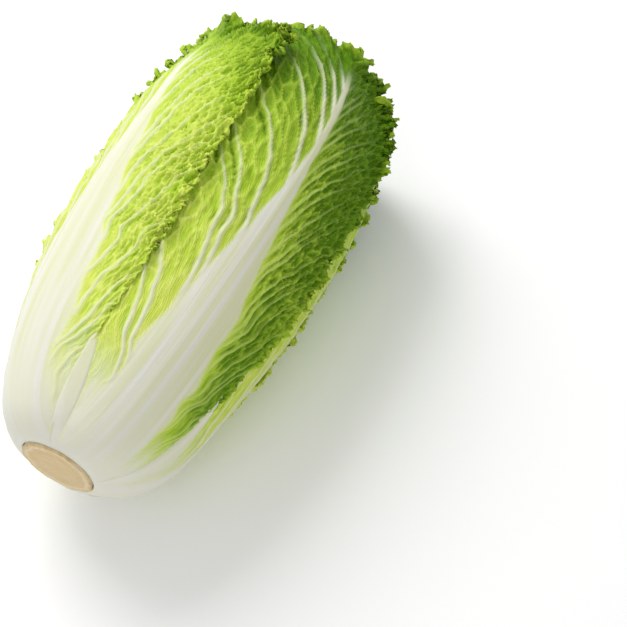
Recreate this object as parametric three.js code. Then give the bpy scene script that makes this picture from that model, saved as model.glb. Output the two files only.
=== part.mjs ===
// A head of napa cabbage, lying on its side, in millimetres. +Z is up and +Y runs from the cut stem to the leaf tips.
//
// The stem is a short cone. Every leaf sits on the cone with its base, swings out round the head and closes over the
// top. The leaves follow each other round the stem by the golden angle, the outermost first. A leaf's surface is the
// head's outer skin, shrunk towards the stem's tip by a share that is called its level here: 1 is the skin of the head
// and 0 is the stem's tip. A leaf lies lower than the leaves that cover it, and rises again beside them.
import * as THREE from "three";

// Driving dimensions of the head.
const HEAD_LENGTH = 300; // from the lowest leaf base to where the head's outline closes on its axis
const HEAD_RADIUS = 76; // at the widest place
const WIDEST_AT = 206; // height of that place above the lowest leaf base
const FULLNESS = 2.15; // exponent of the superellipses that make the head's outline: 2 is an ellipse, more is boxier
const AXIS_HEIGHT = 68; // of the head's axis above the flattened underside
const HEART_HEIGHT = 0.84; // the innermost leaves reach this share of the height above the stem's tip

// The stem.
const STEM_RADIUS = 22; // of the cut face
const STEM_LENGTH = 70; // from the cut face to the growing tip, where all levels meet
const STEM_PROUD = 1.5; // how far the cut face stands out of the leaf bases
const SEAT_GAP = 0.4; // between the leaf bases and the stem

// The leaves, from the outermost in.
const FIRST_LEAF_DEG = -46; // direction of the outermost leaf's midrib, from +Z towards +X
const GOLDEN_ANGLE_DEG = -137.5; // from each leaf to the next one in
const LEAF_GROUPS = [
  { name: "wrapper_leaf", count: 8, pitch: 4.4, blade: 2.4, rib: 4.5, rows: 9, columns: 14, color: 0x9ccb4a },
  { name: "middle_leaf", count: 10, pitch: 3.9, blade: 2.0, rib: 3.0, rows: 10, columns: 10, color: 0xc9dd7a },
  { name: "heart_leaf", count: 8, pitch: 3.4, blade: 1.7, rib: 1.8, rows: 11, columns: 8, color: 0xe9d86a },
];
const UNCOVERED_SHARE = 0.26; // of a leaf's pitch, by which it also lowers the leaves beside it
const COVER_FADE_DEG = 30; // a leaf rises again over this angle beside the one that covers it
const HALF_WIDTH_DEG = { base: 38, full: 43, tip: 30 }; // a leaf's half width, seen from the head's axis
const TUCKED_SIDE_WIDER = 0.3; // the half that is tucked under the older leaf grows wider by this share
const FULL_WIDTH_AT = 0.35; // share of the head's length
const NARROWING_AT = 0.85; // the leaf rounds off to its tip from here
const RIB_HALF_DEG = { base: 30, tip: 6 }; // the midrib's half width
const ROW_ANGLES_DEG = [0, 14, 30, 46, 62, 90, 112, 136, 150, 160, 168]; // along the outline: 90 is the widest place
const BUD_ANGLES_DEG = [62, 90, 112, 136, 150]; // the same for the bud, which starts above the stem's tip
const BUD_FIT = 0.9; // the bud's width, as a share of the room that the leaves leave it

const { degToRad, lerp, smoothstep } = THREE.MathUtils;

// The head's outline: two superellipse quarters that meet at the widest place. Returns height and radius.
function outline(angleDeg) {
  const along = Math.abs(Math.cos(degToRad(angleDeg))) ** (2 / FULLNESS);
  const out = Math.sin(degToRad(angleDeg)) ** (2 / FULLNESS);
  if (angleDeg <= 90) return { y: WIDEST_AT * (1 - along), r: lerp(STEM_RADIUS, HEAD_RADIUS, out) };
  return { y: WIDEST_AT + (HEAD_LENGTH - WIDEST_AT) * along, r: HEAD_RADIUS * out };
}

// A point at a level, a direction round the axis and a place along the outline. Levels shrink towards the stem's tip.
// Above it they shrink less in height than in width, because the inner leaves are nearly as tall as the outer ones.
function headPoint(level, directionDeg, place) {
  const rise = place.y - STEM_LENGTH;
  const height = STEM_LENGTH + rise * (rise > 0 ? lerp(HEART_HEIGHT, 1, level) : level);
  const a = degToRad(directionDeg);
  const lift = Math.max(place.r * Math.cos(a), -AXIS_HEIGHT);
  return new THREE.Vector3(place.r * level * Math.sin(a), height, lift * level);
}

// The signed angle from one direction to another, between -180 and 180.
function turnBetween(fromDeg, toDeg) {
  return ((((toDeg - fromDeg) % 360) + 540) % 360) - 180;
}

// A leaf's half width at a share of the head's length, on its tucked side (-1) or its free side (1).
function halfWidth(share, side) {
  const growth = smoothstep(share, 0, FULL_WIDTH_AT);
  const grown = lerp(HALF_WIDTH_DEG.base, HALF_WIDTH_DEG.full, growth);
  const rounding = Math.max(0, (share - NARROWING_AT) / (1 - NARROWING_AT));
  const width = lerp(HALF_WIDTH_DEG.tip, grown, Math.sqrt(1 - rounding ** 2));
  return side < 0 ? width * (1 + TUCKED_SIDE_WIDER * growth) : width;
}

// One record for each leaf, the outermost first.
function leafPlan() {
  const plan = [];
  for (const group of LEAF_GROUPS) {
    for (let i = 1; i <= group.count; i++) {
      const direction = FIRST_LEAF_DEG + plan.length * GOLDEN_ANGLE_DEG;
      plan.push({ ...group, name: `${group.name}_${i}`, direction });
    }
  }
  return plan;
}

// How much thicker the midrib is than the blade: a round swelling, strongest at the leaf's base.
function ribSwelling(leaf, directionDeg, share) {
  const reach = lerp(RIB_HALF_DEG.base, RIB_HALF_DEG.tip, Math.sqrt(share));
  const off = Math.abs(turnBetween(leaf.direction, directionDeg)) / reach;
  return off < 1 ? leaf.rib * (1 - 0.85 * share) * Math.cos((off * Math.PI) / 2) ** 2 : 0;
}

// The level of a leaf's outer face: what the leaves outside it leave free.
function levelOf(index, plan, directionDeg, share) {
  let depth = 0;
  for (const outer of plan.slice(0, index)) {
    const turn = turnBetween(outer.direction, directionDeg);
    const width = halfWidth(share, Math.sign(turn));
    const covered = 1 - smoothstep(Math.abs(turn), width, width + COVER_FADE_DEG);
    depth += outer.pitch * lerp(UNCOVERED_SHARE, 1, covered) + ribSwelling(outer, directionDeg, share);
  }
  return 1 - depth / HEAD_RADIUS;
}

// Closes two grids of points, an outer and an inner face, into one shell. Both have the same rows and columns.
function shellGeometry(outer, inner) {
  const rows = outer.length;
  const columns = outer[0].length;
  const at = (side, row, column) => (side * rows + row) * columns + column;
  const index = [];
  const quad = (a, b, c, d) => index.push(a, c, b, a, d, c);
  for (let r = 0; r < rows - 1; r++) {
    for (let c = 0; c < columns - 1; c++) {
      quad(at(0, r, c), at(0, r + 1, c), at(0, r + 1, c + 1), at(0, r, c + 1));
      quad(at(1, r, c), at(1, r, c + 1), at(1, r + 1, c + 1), at(1, r + 1, c));
    }
    const last = columns - 1;
    quad(at(0, r, 0), at(1, r, 0), at(1, r + 1, 0), at(0, r + 1, 0));
    quad(at(0, r, last), at(0, r + 1, last), at(1, r + 1, last), at(1, r, last));
  }
  const top = rows - 1;
  for (let c = 0; c < columns - 1; c++) {
    quad(at(0, 0, c), at(0, 0, c + 1), at(1, 0, c + 1), at(1, 0, c));
    quad(at(0, top, c), at(1, top, c), at(1, top, c + 1), at(0, top, c + 1));
  }
  const geometry = new THREE.BufferGeometry().setFromPoints([...outer.flat(), ...inner.flat()]).setIndex(index);
  geometry.computeVertexNormals();
  return geometry;
}

// A leaf: a shell that follows its level, as wide as the leaf at each height and thick along its midrib.
function leafGeometry(leaf, index, plan) {
  const outer = [];
  const inner = [];
  for (const angleDeg of ROW_ANGLES_DEG.slice(0, leaf.rows)) {
    const place = outline(angleDeg);
    const share = place.y / HEAD_LENGTH;
    const outerRow = [];
    const innerRow = [];
    for (let c = 0; c <= leaf.columns; c++) {
      const across = (2 * c) / leaf.columns - 1;
      const directionDeg = leaf.direction + across * halfWidth(share, Math.sign(across));
      const level = levelOf(index, plan, directionDeg, share);
      const thickness = leaf.blade + ribSwelling(leaf, directionDeg, share);
      outerRow.push(headPoint(level, directionDeg, place));
      innerRow.push(headPoint(level - thickness / HEAD_RADIUS, directionDeg, place));
    }
    outer.push(outerRow);
    inner.push(innerRow);
  }
  return shellGeometry(outer, inner);
}

// The bud of unopened leaves in the middle: a closed drop above the stem's tip, within the room left by the leaves.
function budGeometry(plan) {
  const profile = BUD_ANGLES_DEG.map((angleDeg) => {
    const place = outline(angleDeg);
    const around = Array.from({ length: 72 }, (_, i) => levelOf(plan.length, plan, i * 5, place.y / HEAD_LENGTH));
    const point = headPoint(Math.min(...around), 90, place);
    return new THREE.Vector2(point.x * BUD_FIT, point.y);
  });
  const base = new THREE.Vector2(0, profile[0].y);
  const top = new THREE.Vector2(0, profile.at(-1).y);
  return new THREE.LatheGeometry([base, ...profile, top], 12);
}

// The stem: a cone that the leaf bases sit on, cut off flat below.
function stemGeometry() {
  const rim = STEM_RADIUS - SEAT_GAP;
  const tip = STEM_LENGTH * (rim / STEM_RADIUS);
  const profile = [
    new THREE.Vector2(0, -STEM_PROUD),
    new THREE.Vector2(rim - 1, -STEM_PROUD),
    new THREE.Vector2(rim, 0),
    new THREE.Vector2(rim / 2, tip / 2),
    new THREE.Vector2(0, tip),
  ];
  return new THREE.LatheGeometry(profile, 32);
}

function meshOf(name, geometry, color, roughness) {
  const mesh = new THREE.Mesh(geometry, new THREE.MeshStandardMaterial({ color, roughness, metalness: 0 }));
  mesh.name = name;
  return mesh;
}

const head = new THREE.Group();
const plan = leafPlan();
plan.forEach((leaf, index) => head.add(meshOf(leaf.name, leafGeometry(leaf, index, plan), leaf.color, 0.55)));
head.add(meshOf("heart_bud", budGeometry(plan), 0xf0dd70, 0.6));
head.add(meshOf("stem", stemGeometry(), 0xd8b98e, 0.8));

// The part's origin: under the middle of its box, on the surface that it lies on.
const box = new THREE.Box3().setFromObject(head);
const middle = box.getCenter(new THREE.Vector3());
head.position.set(-middle.x, -middle.y, -box.min.z);

const cabbage = new THREE.Group();
cabbage.add(head);

export default cabbage;
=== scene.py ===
"""Napa cabbage: a whole head lying on its side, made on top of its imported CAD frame.

Every leaf is a thin closed shell. Its middle surface is the head's skin, shrunk towards the stem's tip by
the leaf's level as in the CAD part. The relief of ribs, side veins, puckers and ruffles is added along the
normal. Lengths inside the functions are millimetres from the middle of the stem's foot; meshes are in
metres.
"""
from types import SimpleNamespace

import bpy
import numpy as np
from bpy.props import FloatProperty, FloatVectorProperty, PointerProperty
from bpy.types import Operator, Panel, PropertyGroup
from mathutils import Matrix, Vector


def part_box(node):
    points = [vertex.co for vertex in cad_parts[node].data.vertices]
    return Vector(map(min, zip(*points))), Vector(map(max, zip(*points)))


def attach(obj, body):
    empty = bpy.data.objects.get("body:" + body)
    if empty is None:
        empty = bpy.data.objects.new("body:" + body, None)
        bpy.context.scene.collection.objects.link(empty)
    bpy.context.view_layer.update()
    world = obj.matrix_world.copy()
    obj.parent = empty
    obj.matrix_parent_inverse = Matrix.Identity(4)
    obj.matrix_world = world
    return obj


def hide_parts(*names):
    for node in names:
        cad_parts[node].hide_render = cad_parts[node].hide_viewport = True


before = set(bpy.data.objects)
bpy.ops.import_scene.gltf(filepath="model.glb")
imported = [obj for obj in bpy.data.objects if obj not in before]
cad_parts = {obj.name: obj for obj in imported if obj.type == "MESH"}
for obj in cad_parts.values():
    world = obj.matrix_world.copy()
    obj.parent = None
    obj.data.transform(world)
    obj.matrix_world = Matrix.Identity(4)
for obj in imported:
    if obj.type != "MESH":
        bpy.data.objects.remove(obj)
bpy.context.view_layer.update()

bl_info = {
    "name": "Napa Cabbage",
    "version": (1, 0, 0),
    "blender": (4, 5, 0),
    "location": "3D View > Sidebar > Cabbage",
    "description": "Builds a head of napa cabbage, leaf by leaf, with its stem and a plain stage",
    "category": "Object",
}

MM = 0.001
STEM_LOW, STEM_HIGH = (np.array(corner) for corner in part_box("stem"))
STEM_PROUD = 1.5  # the cut face stands this far out of the leaf bases
STEM_MIDDLE = (STEM_LOW + STEM_HIGH) / 2
FOOT = np.array([STEM_MIDDLE[0], STEM_LOW[1] + STEM_PROUD * MM, STEM_MIDDLE[2]])

# The order of the leaves round the stem, as in the CAD part: directions run from +Z towards +X.
FIRST_LEAF_DEG = -46
GOLDEN_ANGLE_DEG = -137.5
UNCOVERED_SHARE = 0.26  # of a leaf's pitch, by which it also lowers the leaves beside it
COVER_FADE_DEG = 30  # a leaf rises again over this angle beside the one that covers it
HEART_HEIGHT = 0.84  # the innermost leaves reach this share of the height above the stem's tip
FLAT_BLEND = 1.2  # in mm, how softly the round side turns into the flat one that the head lies on

# Half the widths of a leaf and of its midrib, in degrees round the head's axis.
TUCKED_BASE, FREE_BASE, FULL_WIDTH, TIP_WIDTH = 34, 41, 43, 31
RIB_BASE, RIB_TIP = 30, 6
TUCKED = 1.3  # how much wider the tucked half of a leaf grows

# The outermost leaf: its tucked half is narrow and its free half broad, its tip is narrow, and its midrib
# leans towards the free half by some mm.
OUTERMOST = dict(tucked=0.73, free=1.17, tip_width=24, lean=7)

# Each group: count, spacing of the levels and swelling of the midrib in mm, where each leaf ends on the
# outline in degrees, their grids (rows, columns, both odd), and how green each is. The last tip and green
# go for all leaves after them.
GROUPS = {
    "wrapper_leaf": dict(count=8, pitch=4.4, rib=4.5, tips=(127, 142, 148, 125, 142, 138, 142),
                         grids=[(481, 161)] * 6 + [(401, 133)] * 2,
                         greens=(0.30, 0.85, 0.95, 0.75, 0.9, 0.6, 0.8, 0.7)),
    "middle_leaf": dict(count=10, pitch=3.9, rib=3.0, tips=(152,), grids=[(241, 95)] * 4 + [(171, 67)] * 6,
                        greens=(0.45, 0.35, 0.25, 0.2, 0.15)),
    "heart_leaf": dict(count=8, pitch=3.4, rib=1.8, tips=(163,), grids=[(121, 51)] * 8, greens=(0.1, 0.05)),
}

FINENESS = (0.8, 0.9, 1.0, 0.75, 0.85)  # sizes of veins and puckers, from leaf to leaf

# A side vein climbs by VEIN_SLOPE for each mm outwards, and by VEIN_START more over a few VEIN_BEND.
VEIN_SLOPE, VEIN_START, VEIN_BEND = 0.95, 42, 16

REPEAT = 64  # random patterns repeat after this many units


# ---------------------------------------------------------------------------------- sizes and colours


def length_setting(name, description, default):
    """A length in metres that can be changed in the panel."""
    return FloatProperty(name=name, description=description, default=default, unit="LENGTH")


def colour_setting(name, description, default):
    """A colour that can be changed in the panel."""
    return FloatVectorProperty(name=name, description=description, default=default, subtype="COLOR", size=3)


class HeadSizes(PropertyGroup):
    """The head's outline and its stem."""

    length: length_setting("Length", "From the leaf bases to the tips", 0.300)
    radius: length_setting("Radius", "At the widest place", 0.076)
    widest_at: length_setting("Widest at", "Height of the widest place over the leaf bases", 0.206)
    fullness: FloatProperty(name="Fullness", description="2 is an ellipse, more is boxier", default=2.15,
                            min=1.5)
    axis_height: length_setting("Axis height", "Over the flattened side", 0.068)
    stem_radius: length_setting("Stem radius", "Of the cut face", 0.022)
    stem_length: length_setting("Stem length", "Up to the growing tip", 0.070)


class LeafRelief(PropertyGroup):
    """Veins, puckers and ruffles of the leaves."""

    vein_spacing: length_setting("Vein spacing", "Between main side veins", 0.030)
    vein_height: length_setting("Vein height", "Beside the midrib", 0.0013)
    pucker_size: length_setting("Pucker size", "Across one pucker", 0.0085)
    pucker_depth: length_setting("Pucker depth", "Between the veins", 0.0013)
    curl_length: length_setting("Curl length", "Of the small curls along a margin", 0.0078)
    curl_height: length_setting("Curl height", "At the margin", 0.0019)
    side_frill: length_setting("Side frill", "Width of the rolled margin on the sides", 0.006)
    crown_frill: length_setting("Crown frill", "Width of the rolled margin at the crown", 0.014)
    crown_flare: length_setting("Crown flare", "Of the tips outwards, most on the right side", 0.006)
    margin_press: length_setting("Margin press", "Of the margins onto the next leaf low down", 0.0012)
    blade: length_setting("Blade", "Thickness of the leaf's blade", 0.0007)


class LeafColours(PropertyGroup):
    """Colours of the leaves."""

    rib: colour_setting("Midrib", "White of the ribs", (0.74, 0.733, 0.64))
    shade: colour_setting("Rib streaks", "Faint green streaks on the ribs", (0.64, 0.66, 0.34))
    vein: colour_setting("Veins", "Pale side veins", (0.74, 0.84, 0.19))
    pale: colour_setting("Pale blade", "Low on the leaf", (0.66, 0.73, 0.11))
    blade: colour_setting("Blade", "Middle of the leaf", (0.41, 0.61, 0.03))
    green: colour_setting("Green blade", "Towards the crown", (0.09, 0.225, 0.001))
    heart: colour_setting("Heart", "Yellow of the inner leaves", (0.82, 0.82, 0.20))


class StemColours(PropertyGroup):
    """Colours of the cut stem."""

    face: colour_setting("Cut face", "Tan, dried flesh", (0.66, 0.50, 0.27))
    rim: colour_setting("Rim", "Browned rim", (0.55, 0.34, 0.10))
    ring: colour_setting("Ring", "Pale ring inside the rim", (0.76, 0.62, 0.42))
    flesh: colour_setting("Flesh", "White flesh between the leaf bases", (0.74, 0.74, 0.60))


class StageSettings(PropertyGroup):
    """Camera, lights and floor."""

    azimuth: FloatProperty(name="Azimuth", description="Of the camera, in degrees", default=27.0)
    elevation: FloatProperty(name="Elevation", description="Of the camera, in degrees", default=59.7)
    distance: length_setting("Distance", "From camera to aim", 0.998)
    lens: FloatProperty(name="Lens", description="Focal length in millimetres", default=100.0)
    aim: FloatVectorProperty(name="Aim", description="Point the camera looks at", subtype="XYZ",
                             unit="LENGTH", default=(0.0749, 0.0125, 0.048))
    key: FloatProperty(name="Key light", description="Power of the soft main light", default=14.0,
                       unit="POWER")
    sky: FloatProperty(name="Sky", description="Strength of the light from all round", default=0.57)
    floor: colour_setting("Floor", "Pale plain floor", (0.98, 0.98, 0.98))


# ---------------------------------------------------------------------------------- shared shapes


def smoothstep(value, low, high):
    """0 below low and 1 above high, with a smooth S between: 3t^2 - 2t^3 of the share t of the way."""
    t = np.clip((value - low) / (high - low), 0, 1)
    return t * t * (3 - 2 * t)


def lerp(a, b, t):
    """The straight mix a + (b - a) t."""
    return a + (b - a) * t


def turn_between(start, end):
    """The signed angle in degrees from one direction to another, between -180 and 180."""
    return (end - start + 540) % 360 - 180


def value_noise(x, y, seed):
    """Smooth noise between -1 and 1: random values on a unit grid, joined by S curves in x and y."""
    table = np.random.default_rng(seed).uniform(-1, 1, (REPEAT, REPEAT))
    ix, iy = np.floor(x).astype(int), np.floor(y).astype(int)
    tx, ty = smoothstep(x - ix, 0, 1), smoothstep(y - iy, 0, 1)
    here, beside, below, above = ix % REPEAT, (ix + 1) % REPEAT, iy % REPEAT, (iy + 1) % REPEAT
    low = lerp(table[here, below], table[beside, below], tx)
    high = lerp(table[here, above], table[beside, above], tx)
    return lerp(low, high, ty)


def cell_depth(x, y, seed):
    """Depth inside irregular cells, 0 on their borders and about 1 in their middles: one random point in
    each unit square, and the distance to the second nearest point minus that to the nearest, over 0.7."""
    jitter = np.random.default_rng(seed).uniform(0.1, 0.9, (REPEAT, REPEAT, 2))
    ix, iy = np.floor(x).astype(int), np.floor(y).astype(int)
    far = 9.0
    nearest = np.full(x.shape, far)
    second = np.full(x.shape, far)
    for dx in (-1, 0, 1):
        for dy in (-1, 0, 1):
            point = jitter[(ix + dx) % REPEAT, (iy + dy) % REPEAT]
            away = np.hypot(ix + dx + point[..., 0] - x, iy + dy + point[..., 1] - y)
            second = np.minimum(second, np.maximum(nearest, away))
            nearest = np.minimum(nearest, away)
    widest = 0.7
    return np.clip((second - nearest) / widest, 0, 1)


def head_outline(sizes, tip):
    """Heights, radii and lengths along the head's outline up to a tip angle: two superellipse quarters that
    meet at the widest place. With a and b the height from there and the radius, each as a share of its
    greatest, they are a = |cos|^(2 / n) and b = sin^(2 / n) of the angle."""
    steps = 1500
    turn = np.radians(np.linspace(0, tip, steps))
    along = np.abs(np.cos(turn)) ** (2 / sizes.fullness)
    out = np.sin(turn) ** (2 / sizes.fullness)
    widest, length, radius = sizes.widest_at / MM, sizes.length / MM, sizes.radius / MM
    lower = turn <= np.pi / 2
    height = np.where(lower, widest * (1 - along), widest + (length - widest) * along)
    reach = np.where(lower, lerp(sizes.stem_radius / MM, radius, out), radius * out)
    run = np.concatenate([[0], np.cumsum(np.hypot(np.diff(height), np.diff(reach)))])
    return height, reach, run


def head_point(sizes, level, direction, height, reach):
    """A point of the head: the outline turned round the axis by direction, shrunk towards the stem's tip by
    level (in height less than in width above the tip), and pressed smoothly flat on the underside."""
    tip = sizes.stem_length / MM
    rise = height - tip
    tall = np.where(rise > 0, lerp(HEART_HEIGHT, 1, level), level)
    angle = np.radians(direction)
    floor = -sizes.axis_height / MM
    lift = reach * np.cos(angle)
    lift = floor + FLAT_BLEND * np.logaddexp(0, (lift - floor) / FLAT_BLEND)
    return np.stack([reach * level * np.sin(angle), tip + rise * tall, lift * level], axis=-1)


def half_width(leaf, share, side):
    """Half the width of a leaf in degrees round the axis, at a share of the head's length: the base's, then
    the full width, then less on a quarter circle to the rounded tip. The half tucked under the older leaf
    (side < 0) starts narrower, and each half grows to its own share."""
    tucked = side < 0
    growth = smoothstep(share, 0.06, 0.36)
    rounding = np.clip((share - 0.82) / 0.17, 0, 1)
    grown = lerp(np.where(tucked, TUCKED_BASE, FREE_BASE), FULL_WIDTH, growth)
    width = lerp(leaf["tip_width"], grown, np.sqrt(1 - rounding**2))
    broader = lerp(1, leaf["free"], smoothstep(share, -0.2, 0.5))
    return width * np.where(tucked, lerp(1, leaf["tucked"], growth), broader)


def rib_swelling(leaf, direction, share):
    """Extra thickness at the midrib in mm, less towards the tip: a squared cosine across it."""
    off = np.abs(turn_between(leaf["direction"], direction)) / lerp(RIB_BASE, RIB_TIP, np.sqrt(share))
    thickest = leaf["rib"] * (1 - 0.85 * share)
    return np.where(off < 1, thickest * np.cos(np.minimum(off, 1) * np.pi / 2) ** 2, 0)


def leaf_plan():
    """One record for each leaf, the outermost first: each stands the golden angle on from the last."""
    plan = []
    for group, facts in GROUPS.items():
        for i in range(facts["count"]):
            greens, tips = facts["greens"], facts["tips"]
            plan.append(dict(
                name=f"{group}_{i + 1}", group=group, pitch=facts["pitch"], rib=facts["rib"],
                tip=tips[min(i, len(tips) - 1)], grid=facts["grids"][i],
                fine=FINENESS[len(plan) % len(FINENESS)], green=greens[min(i, len(greens) - 1)],
                seed=100 + 7 * len(plan), direction=FIRST_LEAF_DEG + len(plan) * GOLDEN_ANGLE_DEG,
                tucked=TUCKED, free=1, tip_width=TIP_WIDTH, lean=0))
    plan[0].update(OUTERMOST)
    return plan


def leaf_level(sizes, index, plan, direction, share):
    """The level of a leaf's outer face, and how far it is covered (0 to 1): each leaf outside it takes its
    pitch where it covers this one, fading to a quarter of that beside it, and its midrib's swelling."""
    depth = np.zeros(direction.shape)
    hidden = np.zeros(direction.shape)
    for outer in plan[:index]:
        turn = turn_between(outer["direction"], direction)
        width = half_width(outer, share, np.sign(turn))
        covered = 1 - smoothstep(np.abs(turn), width, width + COVER_FADE_DEG)
        depth += outer["pitch"] * lerp(UNCOVERED_SHARE, 1, covered) + rib_swelling(outer, direction, share)
        hidden = np.maximum(hidden, 1 - smoothstep(np.abs(turn), width - 9, width - 1))
    return 1 - depth / (sizes.radius / MM), hidden


# ---------------------------------------------------------------------------------- leaf relief


def side_vein_path(away):
    """How far up a side vein has climbed at a distance d from the midrib, and its slope there. It starts
    almost along the midrib and ends near 45 degrees: a d + b (1 - exp(-d / c)), with the slope a + (b / c)
    exp(-d / c)."""
    start = np.exp(-away / VEIN_BEND)
    return VEIN_SLOPE * away + VEIN_START * (1 - start), VEIN_SLOPE + VEIN_START / VEIN_BEND * start


def ridges(position, spacing, width, slope, seed, offset=0):
    """Ridges near every multiple of a spacing, each shifted by up to 0.3 of it and all by an offset:
    exp(-(d / width)^2) of the distance d square to the nearest ridge."""
    shifts = np.random.default_rng(seed).uniform(-0.3, 0.3, REPEAT)
    number = np.floor((position - offset) / spacing).astype(int)
    away = np.full(position.shape, np.inf)
    for step in (-1, 0, 1):
        line = (number + step + 0.5 + shifts[(number + step) % REPEAT]) * spacing + offset
        away = np.minimum(away, np.abs(position - line))
    return np.exp(-((away / np.sqrt(1 + slope**2) / width) ** 2))


def rolled_margin(relief, leaf, x, s, edge, crown):
    """A margin rolled outwards along a round arc: how far each point moves towards the margin and outwards,
    in mm, and the phase of its lobes.

    With t the distance into the rolled band of width L and A the angle that the margin has turned, the
    moves are (L / A) sin(A t / L) - t and (L / A)(1 - cos(A t / L)). A goes up and down with long lobes
    along the margin, a sine of s - |x| with a wandering phase, and is larger at the crown, where the band
    is wider too."""
    lobe = 2 * np.pi * (s - np.abs(x)) / (2.6 * relief.curl_length / MM)
    lobe = lobe + 2.4 * value_noise(x / 22, s / 22, leaf["seed"] + 5)
    uneven = 1 + 0.35 * value_noise(x / 12, s / 12, leaf["seed"] + 9)
    band = lerp(relief.side_frill, relief.crown_frill, crown) / MM * uneven
    into = np.maximum(band - edge, 0)
    rate = (lerp(0.3, 0.9, crown) + lerp(0.25, 0.5, crown) * np.sin(lobe)) / band
    return np.sin(rate * into) / rate - into, (1 - np.cos(rate * into)) / rate, lobe


def margin_curls(relief, leaf, x, s, edge, crown):
    """Small curls of a margin: out of the rolled surface, along it and past it, in mm. They are sines of
    the length along the margin, s - |x|, with a wandering phase, one of the curl length and one of about
    half of it, and fade inwards from the margin. A shift along the margin by the sine of twice the phase
    rounds their crests."""
    seed, length, height = leaf["seed"], relief.curl_length / MM, relief.curl_height / MM
    phase = 2 * np.pi * (s - np.abs(x)) / length
    curl = phase + 2.6 * value_noise(x / 10, s / 10, seed + 4)
    fine = phase / 0.47 + 3.0 * value_noise(x / 6, s / 6, seed + 16)
    uneven = 1 + 0.5 * value_noise(x / 10, s / 10, seed + 17)
    near = np.exp(-((edge / lerp(3.5, 8.0, crown)) ** 1.5)) * uneven * lerp(0.4, 1.1, crown)
    rim = np.exp(-((edge / lerp(3, 6, crown)) ** 1.5)) * uneven
    out = height * (near * np.sin(curl) + lerp(0.42, 0.75, crown) * rim * np.sin(fine))
    scallop = rim * (np.abs(np.sin(curl / 2 + 0.8)) + 0.8 * np.abs(np.sin(fine / 2)) - 0.5)
    shift = -0.26 * near * np.sin(2 * curl) - 0.10 * rim * np.sin(2 * fine)
    return out, height * shift * np.sign(x), scallop


def midrib_half_width(leaf, s, side):
    """Half the midrib's width in mm: an S curve from the foot's to the tip's, narrower and shorter on a
    green leaf, and uneven by up to a tenth."""
    foot, tip, end = 28 - 9 * leaf["green"], 1.6, 285 - 50 * leaf["green"]
    half = tip + foot * (1 - smoothstep(s, 60, end))
    return half * (1 + 0.10 * value_noise(s / 11 + side * 20, s * 0 + 3, leaf["seed"]))


def side_veins(leaf, relief, x, s, away, edge, crown):
    """The veins beside the midrib: ridges along lines of equal climb c = s - rise(distance from the
    midrib), which wander a little.

    They are wide and far apart on the tucked half (x < 0), finer and closer on the free half of a green
    leaf, and get thinner outwards. Beside each main one lies a crease, and thin ones run between them. Near
    a margin of the crown the veins reach less far."""
    seed, fine, side = leaf["seed"], leaf["fine"], np.sign(x)
    rise, slope = side_vein_path(away)
    wander = 3.0 * value_noise(x / 24, s / 28, seed + 1) + 1.6 * value_noise(x / 8, s / 8, seed + 8)
    climb = s - rise + side * 5.5 * (1 - np.exp(-away / 8)) + wander * smoothstep(away, 0, 12)
    dense = np.where(x > 0, 0.9 - 0.5 * leaf["green"], 1)
    spacing = relief.vein_spacing / MM * fine * dense
    width = lerp(1.1, 0.4, smoothstep(away, 0, 50)) * lerp(0.5, 1, fine) * dense**0.3
    reach = smoothstep(edge, lerp(0, 14, np.sqrt(crown)), lerp(6, 46, np.sqrt(crown)))
    fade = (1 - 0.45 * smoothstep(away, 15, 70)) * lerp(0.1, 1, reach)
    main = ridges(climb, spacing, width, slope, seed + 12) * fade
    folded = smoothstep(value_noise(x / 16, s / 16, seed + 19), -0.3, 0.4)
    crease = ridges(climb, spacing, 0.9, slope, seed + 12, offset=-5.0 * dense) * fade * folded
    thin = ridges(climb + 0.4 * away, 0.55 * spacing, 0.5, slope, seed + 13) * smoothstep(away, 6, 20)
    return SimpleNamespace(climb=climb, dense=dense, reach=reach, main=main, crease=crease, thin=thin)


def pucker_cells(leaf, relief, away, climb, side):
    """Irregular cells in (distance from the midrib, climb), large ones and small ones: how deep each point
    lies in its cell, and the net of their borders, exp(-(d / w)^2) of the distance d to the border."""
    free = side > 0
    size = relief.pucker_size / MM * leaf["fine"] * np.where(free, 0.75, 1)
    across, up = np.where(free, 1.1, 0.9) * size, np.where(free, 1.1, 1.4) * size
    large = cell_depth(away / across + 20 * side, climb / up + 30, leaf["seed"] + 3)
    small = cell_depth(away / (0.45 * size) + 11 * side, climb / (0.5 * size) + 50, leaf["seed"] + 7)
    net = np.exp(-((large * 0.35 * size / np.where(free, 0.6, 0.75)) ** 2))
    small_net = np.exp(-((small * 0.35 * 0.4 * size / 0.4) ** 2))
    return SimpleNamespace(large=large, small=small, net=net, small_net=small_net)


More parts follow.
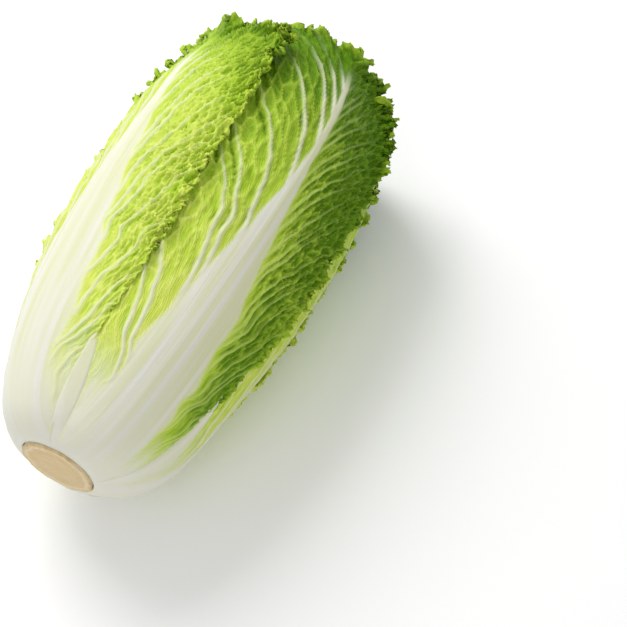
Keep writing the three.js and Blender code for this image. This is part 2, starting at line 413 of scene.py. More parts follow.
def leaf_tissue(leaf, relief, x, s, edge, crown):
    """Heights in mm over the leaf's middle surface, masks of what it is made of and a mask of painted
    shade in its pits and creases, from the place on the flat leaf.

    x is the distance from the midrib, s the length from the base, edge the distance to the margin and crown
    the share of the way into the crown. The midrib is a low round band with fine strands. The blade rises
    beside it with its veins and creases, and with puckers that are sunk between their borders and deeper
    near the margin."""
    seed, green, side, free = leaf["seed"], leaf["green"], np.sign(x), x > 0
    rib_half = midrib_half_width(leaf, s, side)
    away = np.maximum(np.abs(x) - rib_half, 0)
    veins = side_veins(leaf, relief, x, s, away, edge, crown)
    cells = pucker_cells(leaf, relief, away, veins.climb, side)
    blade = smoothstep(away, 0.3, 6) * smoothstep(s, 20, 80)
    risen = blade * lerp(0.2, 1, smoothstep(s, 60, 170))
    rib = (1 - smoothstep(np.abs(x), rib_half * 0.86, rib_half * 1.04 + 0.6)) * lerp(1, veins.reach, crown)
    inward, out, lobe = rolled_margin(relief, leaf, x, s, edge, crown)

    ruffled = np.exp(-edge / 20)
    deep = relief.pucker_depth / MM * (0.75 + 0.35 * leaf["fine"]) * (1 + 1.2 * ruffled)
    deep = deep * (0.55 + 0.45 * smoothstep(away, 2, 20))
    crumpled = 0.1 + 0.8 * ruffled + 1.5 * crown * np.exp(-edge / 15)
    fibres = 0.09 * value_noise(x / 1.7, s / 60, seed + 6) + 0.2 * value_noise(x / 6, s / 120, seed + 20)
    puckers = deep * (0.6 * cells.net - np.where(free, 0.6, 0.3) * cells.large**0.8)
    small_puckers = deep * (0.35 * cells.small_net - 0.3 * cells.small)
    lumps = (
        relief.vein_height / MM * veins.dense**0.3 * veins.main * (1 - rib) * lerp(0.4, 1, risen)
        + 0.3 * veins.thin * risen * (1 - veins.main)
        - np.where(free, 1.0, 2.5) * veins.crease * risen * (1 - veins.main)
        + puckers * risen * (1 - 0.7 * veins.main)
        + small_puckers * risen * (1 - veins.main) * np.where(free, 1, 0.25)
        + 0.3 * risen * value_noise(x / 2.4, s / 2.4, seed + 18) * crumpled
        + 0.9 * risen * (0.15 + ruffled) * np.sin(lobe) * (1 - crown)
        + 1.5 * np.cos(np.minimum(np.abs(x) / (rib_half + 5), 1) * np.pi / 2) ** 2
        + fibres * smoothstep(s, 5, 40) * (1 - blade))

    # The foot is bare of green, less far up on the free half of a dark leaf. Side veins start as white as
    # the midrib and turn to their own colour outwards. On white tissue the vein mask holds a faint tint, in
    # streaks and stronger on the free side of the midrib.
    dark = np.where(free, green**4, 0)
    ragged = s + 8 * value_noise(x / 5, s / 14, seed + 2) + 0.15 * np.abs(x)
    bare = smoothstep(ragged, 26 - 12 * dark, 92 - 40 * dark)
    rim = smoothstep(edge - 2 * value_noise(s / 2.5, x / 9, seed + 14), 0.5, 5)
    white = np.maximum(rib, (1 - bare) * lerp(lerp(0.8, 0.3, smoothstep(s, 30, 80)), 1, rim))
    root = np.exp(-away / 42) * np.where(free, lerp(1.3, 0.1, green), 1.4) * veins.main
    streak = 0.35 + 1.1 * value_noise(x / 3.2, s / 65, seed + 10) + 0.45 * smoothstep(x, -6, 14)
    streak = np.clip(streak, 0, 1) * smoothstep(s, -20, 80)
    vein = np.maximum.reduce([veins.main, 0.7 * veins.thin * blade, 0.95 * cells.net * blade,
                              0.3 * cells.small_net * blade])
    vein = vein * lerp(1, 0.3 + 0.5 * np.exp(-away / 12), dark) * lerp(0.25, 1, veins.reach)
    # Painted shade in the pits and creases: this mask turns the blade a deeper green there.
    sunk = np.where(free, 0.7 * cells.large + 0.35 * cells.small, 0.35 * cells.large) + 0.9 * veins.crease
    return SimpleNamespace(
        lumps=lumps, inward=inward, out=out, climb=veins.climb, rib=np.maximum(white, root),
        vein=lerp(vein, streak, white), pit_shade=np.clip(sunk, 0, 1) * blade * (1 - veins.main))


def uneven_growth(direction, height, s):
    """How far the head stands off its even outline, in mm: broad lumps, and two bells round a direction and
    a length from the base, for fuller leaf bases low on the right side and a leaner crown on the left."""
    angle = np.radians(direction)
    lump = 1.5 * value_noise(np.sin(angle) * 1.4 + 9, height / 70 + np.cos(angle) * 1.4 + 9, 5)
    base = 4.5 * np.exp(-((turn_between(112, direction) / 42) ** 2) - ((s - 42) / 30) ** 2)
    shoulder = -2.0 * np.exp(-((turn_between(-75, direction) / 40) ** 2) - ((s - 275) / 40) ** 2)
    return lump * smoothstep(s, 0, 60) + base + shoulder


def unit(vectors):
    """The vectors divided by their lengths."""
    return vectors / np.maximum(np.linalg.norm(vectors, axis=-1, keepdims=True), 1e-9)


def grid_normals(points):
    """Unit normals of a grid of points: the cross product of its differences along columns and rows."""
    return unit(np.cross(np.gradient(points, axis=1), np.gradient(points, axis=0)))


def green_mask(leaf, x, s, edge, crown, hidden):
    """How green the blade is: more up the leaf, near its margin and in the crown, times the leaf's own
    green. The free half of a dark leaf is greener still, partly its own darker green and partly painted
    shade on that side, and so are the tips. The very margin is paler, and so is a covered place."""
    deep = 0.08 + 0.74 * smoothstep(s, 60, 310) + 0.14 * np.exp(-edge / 12)
    deep = deep + 0.9 * np.sqrt(crown) * np.exp(-edge / 36)
    # Free half: partly the leaf's own darker green, partly painted shade on the side turned from the light.
    free_side_green_and_shade = lerp(0.75, 0.42, smoothstep(s, 80, 160)) * leaf["green"] ** 4
    free_side_green_and_shade = free_side_green_and_shade * smoothstep(x, 8, 32) * smoothstep(s, 22, 75)
    tips = 0.4 * leaf["green"] ** 0.3 * crown * np.exp(-edge / 22)
    paler = 1 - 0.4 * np.exp(-((edge / 3) ** 2))
    return np.clip(leaf["green"] * deep + free_side_green_and_shade + tips, 0, 1) * paler * (1 - 0.5 * hidden * (1 - crown))


def leaf_surface(sizes, relief, index, plan):
    """Outer points of a leaf in mm on a grid of rows from base to tip and columns from the tucked margin to
    the free one, inner points under every second one of them, masks, and places on the flat leaf.

    Columns are closer together towards the margins: across = sin of an even angle. Where no other leaf
    covers it, the leaf bulges out by a share of its depth under the head's skin. Its margins press onto the
    next leaf low down and lift off it a little further up."""
    leaf = plan[index]
    rows, columns = leaf["grid"]
    height_at, reach_at, run_at = head_outline(sizes, leaf["tip"])
    s = np.linspace(0, run_at[-1], rows)[:, None] * np.ones((1, columns))
    height = np.interp(s, run_at, height_at)
    reach = np.interp(s, run_at, reach_at)
    share = height / (sizes.length / MM)
    even, crowding = np.linspace(-1, 1, columns)[None, :], 0.8
    across = np.sin(even * np.pi / 2 * crowding) / np.sin(np.pi / 2 * crowding)
    width = half_width(leaf, share, across)
    direction = leaf["direction"] + across * width

    # The level, and how far the leaf bulges where nothing covers it.
    level, hidden = leaf_level(sizes, index, plan, direction, share)
    sunk = (1 - level) * sizes.radius / MM
    share_out = lerp(lerp(0.62, 0.78, smoothstep(sunk, 6, 14)), 1, 1 - smoothstep(s, 0, 16))
    bulge = share_out * (1 - level) * (1 - hidden)
    level = level + bulge + uneven_growth(direction, height, s) / (sizes.radius / MM)

    # Places on the flat leaf. The distance to the margin is the smaller of those to the side and to the
    # tip, with a round corner between the two.
    corner = 2.5
    x = np.radians(across * width) * reach * level - leaf["lean"] * smoothstep(s, 20, 120)
    end = run_at[-1] - s
    beside = np.radians((1 - np.abs(across)) * width) * reach * level
    edge = np.maximum(-corner * np.logaddexp(-beside / corner, -end / corner), 0)
    crown = smoothstep(s / run_at[-1], 0.74, 0.95)
    tissue = leaf_tissue(leaf, relief, x, s, edge, crown)

    # The middle surface, and three directions on it: outwards, towards the nearest margin, and along that.
    middle = head_point(sizes, level, direction, height, reach)
    normal = grid_normals(middle)
    upward = unit(np.gradient(middle, axis=0))
    sideways = unit(np.gradient(middle, axis=1)) * np.sign(across)[..., None]
    nearer = 1 / (1 + np.exp(np.clip((beside - end) / 3, -30, 30)))[..., None]
    towards = unit(lerp(upward, sideways, nearer))
    along = np.cross(normal, towards)

    # Relief is calmer where the leaf is covered, on inner leaves and at the foot. Ruffles start above it.
    calm = lerp(1, 0.2, hidden) * lerp(0.35, 1, np.clip(level, 0, 1)) * smoothstep(s, 0, 25)
    wavy = calm * (0.06 + 0.94 * smoothstep(s, 40, 140))
    low_down = 1 - smoothstep(s, 70, 150)
    press = relief.margin_press / MM * lerp(-1.2, 1.8, low_down) * np.where(across > 0, 1, 0.5)
    press = press * np.exp(-edge / 10) * (1 - hidden) * smoothstep(s, 0, 14) * (1 - crown)
    flare = relief.crown_flare / MM * (0.55 + 0.45 * np.cos(np.radians(direction - 60)))
    flare = flare * crown * np.exp(-((edge / 22) ** 1.3)) * ((1 - hidden) * smoothstep(s, 8, 50))
    outward = tissue.lumps * calm + tissue.out * wavy + flare - press
    rolled = middle + normal * outward[..., None] + towards * (tissue.inward * wavy)[..., None]
    curl_out, curl_along, scallop = margin_curls(relief, leaf, x, s, edge, crown)
    frilly = lerp(1, lerp(0.2, 0.8, crown), hidden) * wavy / np.maximum(lerp(1, 0.2, hidden), 0.2)
    outer = (rolled + grid_normals(rolled) * (curl_out * frilly)[..., None]
             + along * (curl_along * frilly)[..., None] + towards * (scallop * frilly)[..., None])

    # The inner face, one thickness in. Nothing goes under the surface that the head lies on.
    thick = relief.blade / MM + rib_swelling(leaf, direction, share) * 0.9
    depth = unit(lerp(normal, grid_normals(outer), np.exp(-edge / 30)[..., None])) * thick[..., None]
    inner = (outer - depth)[::2, ::2]
    lowest = -FOOT[2] / MM
    outer[..., 2] = np.maximum(outer[..., 2], lowest)
    inner[..., 2] = np.maximum(inner[..., 2], lowest + 0.4)
    green = green_mask(leaf, x, s, edge, crown, hidden)
    # The last mask is painted shade in the pits and creases.
    masks = np.stack([tissue.rib, tissue.vein, green, tissue.pit_shade], axis=-1)
    return outer, inner, masks, np.stack([x, tissue.climb], axis=-1)


# ---------------------------------------------------------------------------------- meshes


def to_row_frame(points):
    """Millimetres from the stem's foot to metres in the row frame."""
    return points * MM + FOOT


def new_piece(name, vertices, quads, triangles=()):
    """An object with a smooth-shaded mesh of quads and triangles, from whole arrays."""
    quads = np.asarray(quads, dtype=np.int32).reshape(-1, 4)
    triangles = np.asarray(triangles, dtype=np.int32).reshape(-1, 3)
    mesh = bpy.data.meshes.new(name)
    mesh.vertices.add(len(vertices))
    mesh.vertices.foreach_set("co", np.asarray(vertices, dtype=np.float32).ravel())
    mesh.loops.add(quads.size + triangles.size)
    mesh.loops.foreach_set("vertex_index", np.concatenate([quads.ravel(), triangles.ravel()]))
    mesh.polygons.add(len(quads) + len(triangles))
    starts = np.concatenate([np.arange(len(quads)) * 4, quads.size + np.arange(len(triangles)) * 3])
    mesh.polygons.foreach_set("loop_start", starts.astype(np.int32))
    mesh.polygons.foreach_set("use_smooth", np.ones(len(starts), dtype=bool))
    mesh.update(calc_edges=True)
    if mesh.validate():
        raise RuntimeError(f"{name}: the mesh had faults")
    piece = bpy.data.objects.new(name, mesh)
    bpy.context.scene.collection.objects.link(piece)
    return piece


def border(grid):
    """The border points of a grid, in order round it from its first corner along its first row."""
    return np.concatenate([grid[0, :-1], grid[:-1, -1], grid[-1, :0:-1], grid[:0:-1, 0]])


def shell_faces(rows, columns):
    """Quads and triangles of a closed shell: a grid of outer points, then a grid of inner ones under every
    second of them, and a rim of three triangles for each inner edge."""
    out = np.arange(rows * columns).reshape(rows, columns)
    inner_rows, inner_columns = (rows + 1) // 2, (columns + 1) // 2
    back = rows * columns + np.arange(inner_rows * inner_columns).reshape(inner_rows, inner_columns)
    outer = np.stack([out[:-1, :-1], out[:-1, 1:], out[1:, 1:], out[1:, :-1]], axis=-1)
    inner = np.stack([back[:-1, :-1], back[1:, :-1], back[1:, 1:], back[:-1, 1:]], axis=-1)
    near, low = border(out), border(back)
    start, middle, stop, high = near[::2], near[1::2], np.roll(near, -2)[::2], np.roll(low, -1)
    rim = np.stack([middle, start, low, stop, middle, high, middle, low, high], axis=-1)
    return np.concatenate([outer.reshape(-1, 4), inner.reshape(-1, 4)]), rim.reshape(-1, 3)


def paint(piece, masks, place):
    """Stores each point's tissue masks as a colour attribute, and its place on the leaf in metres as UVs."""
    mesh = piece.data
    attribute = mesh.color_attributes.new("tissue", "FLOAT_COLOR", "POINT")
    attribute.data.foreach_set("color", masks.astype(np.float32).ravel())
    corners = np.empty(len(mesh.loops), dtype=np.int32)
    mesh.loops.foreach_get("vertex_index", corners)
    uv = mesh.uv_layers.new(name="leaf_place")
    uv.data.foreach_set("uv", (place * MM)[corners].astype(np.float32).ravel())


def make_leaf(index, plan, sizes, relief, material):
    """One leaf: its shell, masks, material, and its link to the CAD node that it stands for."""
    leaf = plan[index]
    outer, inner, masks, place = leaf_surface(sizes, relief, index, plan)
    vertices = to_row_frame(np.concatenate([outer.reshape(-1, 3), inner.reshape(-1, 3)]))
    piece = new_piece(leaf["name"] + "_skin", vertices, *shell_faces(*leaf["grid"]))
    paint(piece, *(np.concatenate([face.reshape(-1, face.shape[-1]) for face in (values, values[::2, ::2])])
                   for values in (masks, place)))
    piece.data.materials.append(material)
    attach(piece, "root")
    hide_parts(leaf["name"])


def lathe_faces(rings, sides):
    """Quads round a stack of rings, and triangles to a pole at each end; the two poles come last."""
    grid = np.arange(rings * sides).reshape(rings, sides)
    after = np.roll(grid, -1, axis=1)
    quads = np.stack([grid[:-1], grid[1:], after[1:], after[:-1]], axis=-1)
    first, last = rings * sides, rings * sides + 1
    start = np.stack([np.full(sides, first), grid[0], after[0]], axis=-1)
    end = np.stack([np.full(sides, last), after[-1], grid[-1]], axis=-1)
    return quads.reshape(-1, 4), np.concatenate([start, end])


# ---------------------------------------------------------------------------------- materials


def node(tree, kind, label, **settings):
    """A node of a kind with a label, and its settings or the default values of its inputs."""
    made = tree.nodes.new(kind)
    made.label = label
    for key, value in settings.items():
        if key in made.inputs:
            made.inputs[key].default_value = value
        else:
            setattr(made, key, value)
    return made


def mix_colour(tree, label, factor, a, b):
    """A mix of two colours by a factor's socket; a and b are sockets or colours."""
    made = node(tree, "ShaderNodeMix", label, data_type="RGBA")
    for socket, value in ((made.inputs[0], factor), (made.inputs[6], a), (made.inputs[7], b)):
        if isinstance(value, bpy.types.NodeSocket):
            tree.links.new(value, socket)
        else:
            socket.default_value = (*value, 1)
    return made.outputs[2]


def math(tree, label, operation, *values, clamp=False):
    """One arithmetic step on sockets or numbers; a MULTIPLY_ADD takes three of them and gives a b + c."""
    made = node(tree, "ShaderNodeMath", label, operation=operation, use_clamp=clamp)
    for socket, value in zip(made.inputs, values):
        if isinstance(value, bpy.types.NodeSocket):
            tree.links.new(value, socket)
        else:
            socket.default_value = value
    return made.outputs[0]


def group_with(name, inputs, outputs):
    """A new shader node group with named sockets: returns its tree, its input node and its output node."""
    tree = bpy.data.node_groups.new(name, "ShaderNodeTree")
    for label, kind in inputs:
        tree.interface.new_socket(label, in_out="INPUT", socket_type=kind)
    for label, kind in outputs:
        tree.interface.new_socket(label, in_out="OUTPUT", socket_type=kind)
    return tree, tree.nodes.new("NodeGroupInput"), tree.nodes.new("NodeGroupOutput")


def leaf_tissue_group(colours):
    """Turns the tissue masks into colour, roughness and a fine height.

    Blade: pale to green by the green mask, greener still as painted shade in the pits and creases, mottled
    by noise. Veins and then the rib lie over it. The fine height is a net of small veins on the blade, and
    long streaks on the rib. Net and streaks follow the leaf's own map, whose second axis climbs along the
    side veins."""
    tree, ins, outs = group_with(
        "leaf tissue",
        [("Masks", "NodeSocketColor"), ("Pit Shade", "NodeSocketFloat"), ("Heart", "NodeSocketFloat")],
        [("Colour", "NodeSocketColor"), ("Roughness", "NodeSocketFloat"), ("Height", "NodeSocketFloat")])
    masks = node(tree, "ShaderNodeSeparateColor", "masks")
    tree.links.new(ins.outputs["Masks"], masks.inputs[0])
    rib, vein, green = masks.outputs
    place = node(tree, "ShaderNodeTexCoord", "place")
    mottle = node(tree, "ShaderNodeTexNoise", "mottling", Scale=55.0, Detail=5.0, Roughness=0.6)
    tree.links.new(place.outputs["Object"], mottle.inputs["Vector"])
    net = node(tree, "ShaderNodeTexVoronoi", "small vein net", feature="DISTANCE_TO_EDGE",
               voronoi_dimensions="2D", Scale=330.0)
    tree.links.new(place.outputs["UV"], net.inputs["Vector"])
    speck = node(tree, "ShaderNodeTexNoise", "crumple", Scale=420.0, Detail=4.0, Roughness=0.6)
    tree.links.new(place.outputs["Object"], speck.inputs["Vector"])
    stretch = node(tree, "ShaderNodeMapping", "long streaks", Scale=(380.0, 8.0, 1.0))
    tree.links.new(place.outputs["UV"], stretch.inputs["Vector"])
    streaks = node(tree, "ShaderNodeTexNoise", "streaks", Scale=1.0, Detail=4.0, Roughness=0.55)
    tree.links.new(stretch.outputs[0], streaks.inputs["Vector"])

    wander = math(tree, "mottled green", "MULTIPLY_ADD", mottle.outputs[0], 0.5, -0.25)
    amount = math(tree, "green", "ADD", green, wander, clamp=True)
    # Painted shade: the pit mask pushes the blade further towards green in the pits and creases.
    painted_pit_shade = math(tree, "painted shade in pits", "MULTIPLY", ins.outputs["Pit Shade"], 0.5)
    amount = math(tree, "green with painted pit shade", "ADD", amount, painted_pit_shade, clamp=True)
    heart = ins.outputs["Heart"]
    young = mix_colour(tree, "pale or yellow", heart, tuple(colours.pale), tuple(colours.heart))
    low = math(tree, "lower half of the scale", "MULTIPLY", amount, 2.0, clamp=True)
    high = math(tree, "upper half of the scale", "MULTIPLY_ADD", amount, 2.0, -1.0, clamp=True)
    blade = mix_colour(tree, "pale to blade", low, young, tuple(colours.blade))
    blade = mix_colour(tree, "blade to green", high, blade, tuple(colours.green))
    netted = math(tree, "net lines", "MULTIPLY_ADD", net.outputs["Distance"], -7.0, 1.0, clamp=True)
    strength = math(tree, "weaker where green", "MULTIPLY_ADD", amount, -0.55, 0.95)
    netted = math(tree, "net strength", "MULTIPLY", netted, strength)
    netted = math(tree, "faint net", "MULTIPLY", netted, 0.42)
    greener = math(tree, "greener veins", "MULTIPLY", amount, 0.85, clamp=True)
    veins = mix_colour(tree, "vein colour", greener, tuple(colours.vein), tuple(colours.blade))
    blade = mix_colour(tree, "netted blade", netted, blade, veins)
    veined = math(tree, "vein strength", "MULTIPLY", vein, strength, clamp=True)
    blade = mix_colour(tree, "veined blade", veined, blade, veins)
    tint = math(tree, "streak tint", "MULTIPLY", streaks.outputs[0], vein)
    tint = math(tree, "strong tint", "MULTIPLY", tint, 1.2, clamp=True)
    white = mix_colour(tree, "streaked rib", tint, tuple(colours.rib), tuple(colours.shade))
    final = mix_colour(tree, "leaf", rib, blade, white)
    tree.links.new(final, outs.inputs["Colour"])

    shine = math(tree, "roughness", "MULTIPLY_ADD", mottle.outputs[0], 0.2, 0.38)
    tree.links.new(shine, outs.inputs["Roughness"])
    bumps = math(tree, "net height", "MINIMUM", net.outputs["Distance"], 0.25)
    bumps = math(tree, "sunk cells", "MULTIPLY", bumps, -2.2)
    bumps = math(tree, "net and crumple", "ADD", bumps, speck.outputs[0])
    ribbed = math(tree, "streak height", "MULTIPLY", streaks.outputs[0], 0.9)
    level = node(tree, "ShaderNodeMix", "height", data_type="FLOAT")
    for socket, value in zip((level.inputs[0], level.inputs[2], level.inputs[3]), (rib, bumps, ribbed)):
        tree.links.new(value, socket)
    tree.links.new(level.outputs[0], outs.inputs["Height"])
    return tree


def new_material(name):
    """A new material, its node tree and its Principled shader."""
    material = bpy.data.materials.new(name)
    material.use_nodes = True
    return material, material.node_tree, material.node_tree.nodes["Principled BSDF"]


def leaf_material(name, colours, heart):
    """A leaf's finish: half-gloss waxy skin with light passing a little way through it. The heart share
    mixes the heart's yellow into its pale parts."""
    tissue = bpy.data.node_groups.get("leaf tissue") or leaf_tissue_group(colours)
    material, tree, shader = new_material(name)
    shader.inputs["Subsurface Weight"].default_value = 0.08
    shader.inputs["Subsurface Radius"].default_value = (0.002, 0.0025, 0.0008)
    shader.inputs["Subsurface Scale"].default_value = 1.0
    shader.inputs["Specular IOR Level"].default_value = 0.1
    masks = node(tree, "ShaderNodeAttribute", "tissue masks", attribute_name="tissue")
    skin = node(tree, "ShaderNodeGroup", "leaf tissue", node_tree=tissue)
    skin.inputs["Heart"].default_value = heart
    bump = node(tree, "ShaderNodeBump", "fine relief", Strength=0.6, Distance=0.0007)
    tree.links.new(masks.outputs["Color"], skin.inputs["Masks"])
    # The masks' alpha is the painted shade of the pits and creases.
    tree.links.new(masks.outputs["Alpha"], skin.inputs["Pit Shade"])
    tree.links.new(skin.outputs["Height"], bump.inputs["Height"])
    tree.links.new(skin.outputs["Colour"], shader.inputs["Base Color"])
    tree.links.new(skin.outputs["Roughness"], shader.inputs["Roughness"])
    tree.links.new(bump.outputs[0], shader.inputs["Normal"])
    return material


def stem_material(colours):
    """The cut stem: tan dried flesh, a pale ring and a browned rim by distance from its middle (the tissue
    masks), with fine pores and stains."""
    material, tree, shader = new_material("cut stem")
    shader.inputs["Roughness"].default_value = 0.72
    shader.inputs["Subsurface Weight"].default_value = 0.05
    masks = node(tree, "ShaderNodeAttribute", "rim, ring and core", attribute_name="tissue")
    parts = node(tree, "ShaderNodeSeparateColor", "parts")
    tree.links.new(masks.outputs["Color"], parts.inputs[0])
    place = node(tree, "ShaderNodeTexCoord", "place")
    stain = node(tree, "ShaderNodeTexNoise", "stains", Scale=120.0, Detail=6.0, Roughness=0.65)
    pores = node(tree, "ShaderNodeTexVoronoi", "pores", Scale=700.0)
    for texture in (stain, pores):
        tree.links.new(place.outputs["Object"], texture.inputs["Vector"])
    flesh = mix_colour(tree, "ringed flesh", parts.outputs[1], tuple(colours.face), tuple(colours.ring))
    blotch = math(tree, "blotches", "MULTIPLY_ADD", stain.outputs[0], 1.6, -0.75, clamp=True)
    weak = math(tree, "weak stain", "MULTIPLY", blotch, 0.5)
    flesh = mix_colour(tree, "stained flesh", weak, flesh, tuple(np.array(colours.rim) * 1.3))
    rimmed = mix_colour(tree, "browned rim", parts.outputs[0], flesh, tuple(colours.rim))
    rimmed = mix_colour(tree, "white flesh inside", parts.outputs[2], rimmed, tuple(colours.flesh))
    tree.links.new(rimmed, shader.inputs["Base Color"])
    bump = node(tree, "ShaderNodeBump", "pores and fibres", Strength=0.5, Distance=0.0005)
    rough = math(tree, "pore height", "ADD", pores.outputs["Distance"], stain.outputs[0])
    tree.links.new(rough, bump.inputs["Height"])
    tree.links.new(bump.outputs[0], shader.inputs["Normal"])
    return material


# ---------------------------------------------------------------------------------- operators


def make_group(group, material):
    """Makes all leaves of one group."""
    scene = bpy.context.scene
    plan = leaf_plan()
    for index, leaf in enumerate(plan):
        if leaf["group"] == group:
            make_leaf(index, plan, scene.cabbage_sizes, scene.cabbage_relief, material)


class WrapperLeaves(Operator):
    """Makes the eight outer leaves, green and ruffled, with broad white midribs"""

    bl_idname = "cabbage.wrapper_leaves"
    bl_label = "Wrapper Leaves"

    def execute(self, context):
        make_group("wrapper_leaf", leaf_material("wrapper leaf", context.scene.cabbage_colours, 0.0))
        return {"FINISHED"}


class MiddleLeaves(Operator):
    """Makes the ten middle leaves, pale green, closed over the heart"""

    bl_idname = "cabbage.middle_leaves"
    bl_label = "Middle Leaves"

    def execute(self, context):
        make_group("middle_leaf", leaf_material("middle leaf", context.scene.cabbage_colours, 0.35))
        return {"FINISHED"}


class HeartLeaves(Operator):
    """Makes the eight yellow heart leaves and the crinkled bud between them"""

    bl_idname = "cabbage.heart_leaves"
    bl_label = "Heart Leaves and Bud"

    def execute(self, context):
        scene = context.scene
        material = leaf_material("heart leaf", scene.cabbage_colours, 0.9)
        make_group("heart_leaf", material)
        make_bud(material)
        return {"FINISHED"}


def make_bud(material):
    """The unopened bud: a drop along the head's axis, its radius sin(pi t^1.25)^0.6 of the way t along it,
    with folds that are sines of the turn about its axis and twist along it, and a crinkled top."""
    low, high = (np.array(corner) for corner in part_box("heart_bud"))
    rings, sides = 70, 72
    way = np.linspace(0.004, 0.996, rings)[:, None]
    turn = np.linspace(0, 2 * np.pi, sides, endpoint=False)[None, :]
    body = np.sin(np.pi * way**1.25) ** 0.6
    folds = 0.10 * np.sin(5 * turn + 9 * way) + 0.05 * way * np.sin(17 * turn - 14 * way)
    crinkle = 0.05 * smoothstep(way, 0.5, 1) * value_noise(turn * 6, way * 26, 77)
    middle = (low + high) / 2
    slimmer = 0.9  # so that its folds stay inside the room that the leaves leave it
    radius = (high[0] - low[0]) / 2 * slimmer * body * (1 + folds + crinkle)
    y = lerp(low[1] + 1 * MM, high[1] - 1 * MM, way) + 0 * turn
    points = np.stack([middle[0] + radius * np.sin(turn), y, middle[2] + radius * np.cos(turn)], axis=-1)
    poles = np.array([[middle[0], end, middle[2]] for end in (low[1] + 0.5 * MM, high[1] - 0.5 * MM)])
    quads, triangles = lathe_faces(rings, sides)
    piece = new_piece("heart_bud_skin", np.concatenate([points.reshape(-1, 3), poles]), quads, triangles)
    # The depth in the cells also gives the bud painted shade in its pits: the last mask, and a touch of
    # green.
    pit_shade = cell_depth(turn * 5 + 0 * way, way * 30 + 0 * turn, 78)
    masks = np.stack([0 * pit_shade, (1 - pit_shade) ** 4, 0.1 * pit_shade, pit_shade], axis=-1).reshape(-1, 4)
    place = np.stack([radius * turn, y - low[1]], axis=-1).reshape(-1, 2) / MM
    paint(piece, np.concatenate([masks, masks[:2]]), np.concatenate([place, place[:2]]))
    piece.data.materials.append(material)
    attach(piece, "root")
    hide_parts("heart_bud")


class CutStem(Operator):
    """Makes the short stem, cut off flat, with its browned rim"""

    bl_idname = "cabbage.cut_stem"
    bl_label = "Cut Stem"

    def execute(self, context):
        make_stem(context.scene.cabbage_sizes, stem_material(context.scene.cabbage_stem_colours))
        return {"FINISHED"}


def make_stem(sizes, material):
    """The stem: a flat, slightly dished and scored cut face, a rounded rim and a cone up to the growing
    tip. The way runs from the middle of the face out over the rim and up the cone."""
    rim, tip = sizes.stem_radius / MM - 0.6, sizes.stem_length / MM
    dish, cone_start, cone_end = 0.5, 0.6, tip * 0.97
    across_face = 0.97 - 0.94 * np.linspace(1, 0, 56) ** 1.6
    up_cone = np.linspace(0.04, 0.99, 30)
    profile = np.array(
        [(rim * w, -STEM_PROUD + dish * (1 - w**2)) for w in across_face]
        + [(rim * 0.985, -STEM_PROUD + 0.15), (rim, 0.4 - STEM_PROUD * 0.5), (rim, cone_start)]
        + [(rim * (1 - w), cone_start + (cone_end - cone_start) * w) for w in up_cone])
    sides = 160
    turn = np.linspace(0, 2 * np.pi, sides, endpoint=False)[None, :]
    radius, y = profile[:, :1], profile[:, 1:]
    share = radius / rim
    face = y < -0.2
    score = 0.28 * value_noise(radius * np.sin(turn) / 2.6 + 20, radius * np.cos(turn) / 1.1 + 20, 31)
    bundles = -0.25 * np.exp(-(((share - 0.62) / 0.05) ** 2)) * (0.5 + 0.5 * np.sin(turn * 34))
    y = y + np.where(face, (score + bundles) * smoothstep(1 - share, 0, 0.1), 0)
    wobble = 1 + 0.018 * np.sin(3 * turn + 1) + 0.014 * np.sin(7 * turn)
    wobble = wobble + 0.02 * value_noise(turn * 9, 0 * turn, 43)
    round_radius = radius * np.where(face, wobble, 1)
    points = np.stack([round_radius * np.sin(turn), y + 0 * turn, round_radius * np.cos(turn)], axis=-1)
    poles = np.array([[0, dish - STEM_PROUD, 0], [0, tip * 0.975, 0]])
    quads, triangles = lathe_faces(len(profile), sides)
    vertices = to_row_frame(np.concatenate([points.reshape(-1, 3), poles]))
    piece = new_piece("stem_skin", vertices, quads, triangles)
    ragged = share + 0.03 * value_noise(turn * 9, share * 9, 41)
    ragged = ragged + 0.025 * value_noise(turn * 26, share * 3, 42)
    flesh = smoothstep(y, 0.5 - STEM_PROUD, 2.4 - STEM_PROUD) * (share > 0.98)
    brown = smoothstep(ragged, 0.96, 1.02) * (1 - flesh)
    ring = np.exp(-(((ragged - 0.86) / 0.05) ** 2)) + 0.25 * np.exp(-(((ragged - 0.4) / 0.2) ** 2))
    masks = np.stack([brown, ring, flesh + 0 * turn, 1 + 0 * ring], axis=-1).reshape(-1, 4)
    place = np.stack([radius * turn, y + 0 * turn], axis=-1).reshape(-1, 2)
    paint(piece, np.concatenate([masks, masks[:1], masks[-1:]]), np.concatenate([place, place[:2]]))
    piece.data.materials.append(material)
    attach(piece, "root")
    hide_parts("stem")


class Stage(Operator):
    """Makes the floor, the soft lights and the camera"""

    bl_idname = "cabbage.stage"
    bl_label = "Stage"

    def execute(self, context):
        settings = context.scene.cabbage_stage
        make_floor(settings)
        make_lights(settings)
        make_camera(settings)
        context.scene.view_settings.view_transform = "Standard"
        return {"FINISHED"}


def make_floor(settings):
    """A square pale floor, two metres each way from the head."""
    corners = [(-2, -2, 0), (2, -2, 0), (2, 2, 0), (-2, 2, 0)]
    floor = new_piece("floor", corners, [[0, 1, 2, 3]])
    material, _, shader = new_material("pale floor")
    shader.inputs["Base Color"].default_value = (*settings.floor, 1)
    shader.inputs["Roughness"].default_value = 0.9
    shader.inputs["Specular IOR Level"].default_value = 0.1
    floor.data.materials.append(material)


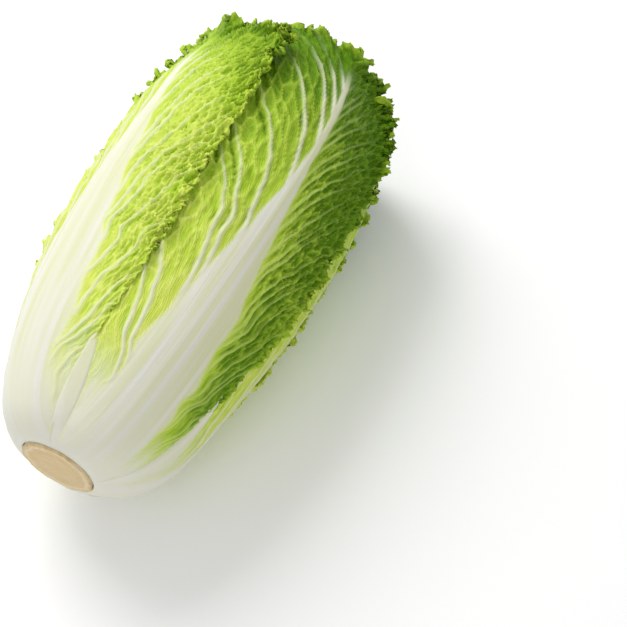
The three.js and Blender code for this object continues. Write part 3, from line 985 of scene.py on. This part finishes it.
def add_light(name, place, size, power):
    """A square area light at a place, turned towards the middle of the head."""
    aim = Vector((0, 0, 0.05))
    light = bpy.data.lights.new(name, "AREA")
    light.shape = "SQUARE"
    light.size = size
    light.energy = power
    lamp = bpy.data.objects.new(name, light)
    lamp.location = place
    lamp.rotation_euler = (aim - Vector(place)).to_track_quat("-Z", "Y").to_euler()
    bpy.context.scene.collection.objects.link(lamp)


def make_lights(settings):
    """A large soft key light above and behind to the left, a weaker fill, and an even white surround."""
    world = bpy.data.worlds.new("surround")
    world.use_nodes = True
    background = world.node_tree.nodes["Background"]
    background.inputs["Strength"].default_value = settings.sky
    background.inputs["Color"].default_value = (1, 1, 1, 1)
    bpy.context.scene.world = world
    add_light("key", (-0.8, 0.45, 1.1), 0.8, settings.key)
    add_light("fill", (0.3, -1.0, 1.0), 1.0, settings.key * 0.25)


def make_camera(settings):
    """The camera: a long lens that looks at its aim from a direction given by azimuth and elevation."""
    azimuth, elevation = np.radians(settings.azimuth), np.radians(settings.elevation)
    level = np.cos(elevation)
    back = Vector((np.sin(azimuth) * level, -np.cos(azimuth) * level, np.sin(elevation)))
    camera = bpy.data.objects.new("camera", bpy.data.cameras.new("camera"))
    camera.data.lens = settings.lens
    camera.location = Vector(settings.aim) + back * settings.distance
    camera.rotation_euler = back.to_track_quat("Z", "Y").to_euler()
    bpy.context.scene.collection.objects.link(camera)
    bpy.context.scene.camera = camera


class CabbagePanel(Panel):
    """Lists the sizes, the colours and the steps that make the head"""

    bl_idname = "VIEW3D_PT_cabbage"
    bl_label = "Napa Cabbage"
    bl_space_type = "VIEW_3D"
    bl_region_type = "UI"
    bl_category = "Cabbage"

    def draw(self, context):
        for group in SETTINGS:
            settings = getattr(context.scene, group)
            for name in settings.__annotations__:
                self.layout.prop(settings, name)
        for operator in OPERATORS:
            self.layout.operator(operator.bl_idname)


OPERATORS = (CutStem, HeartLeaves, MiddleLeaves, WrapperLeaves, Stage)
SETTINGS = {
    "cabbage_sizes": HeadSizes,
    "cabbage_relief": LeafRelief,
    "cabbage_colours": LeafColours,
    "cabbage_stem_colours": StemColours,
    "cabbage_stage": StageSettings,
}


def register():
    """Registers every class and puts the settings on the scene."""
    for cls in (*SETTINGS.values(), *OPERATORS, CabbagePanel):
        bpy.utils.register_class(cls)
    for name, group in SETTINGS.items():
        setattr(bpy.types.Scene, name, PointerProperty(type=group))


def unregister():
    """Takes the settings off the scene and unregisters every class."""
    for name in SETTINGS:
        delattr(bpy.types.Scene, name)
    for cls in reversed((*SETTINGS.values(), *OPERATORS, CabbagePanel)):
        bpy.utils.unregister_class(cls)


def main():
    """Makes every piece in order."""
    register()
    bpy.ops.cabbage.cut_stem()
    bpy.ops.cabbage.heart_leaves()
    bpy.ops.cabbage.middle_leaves()
    bpy.ops.cabbage.wrapper_leaves()
    bpy.ops.cabbage.stage()
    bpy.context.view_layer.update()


if __name__ == "__main__":
    main()
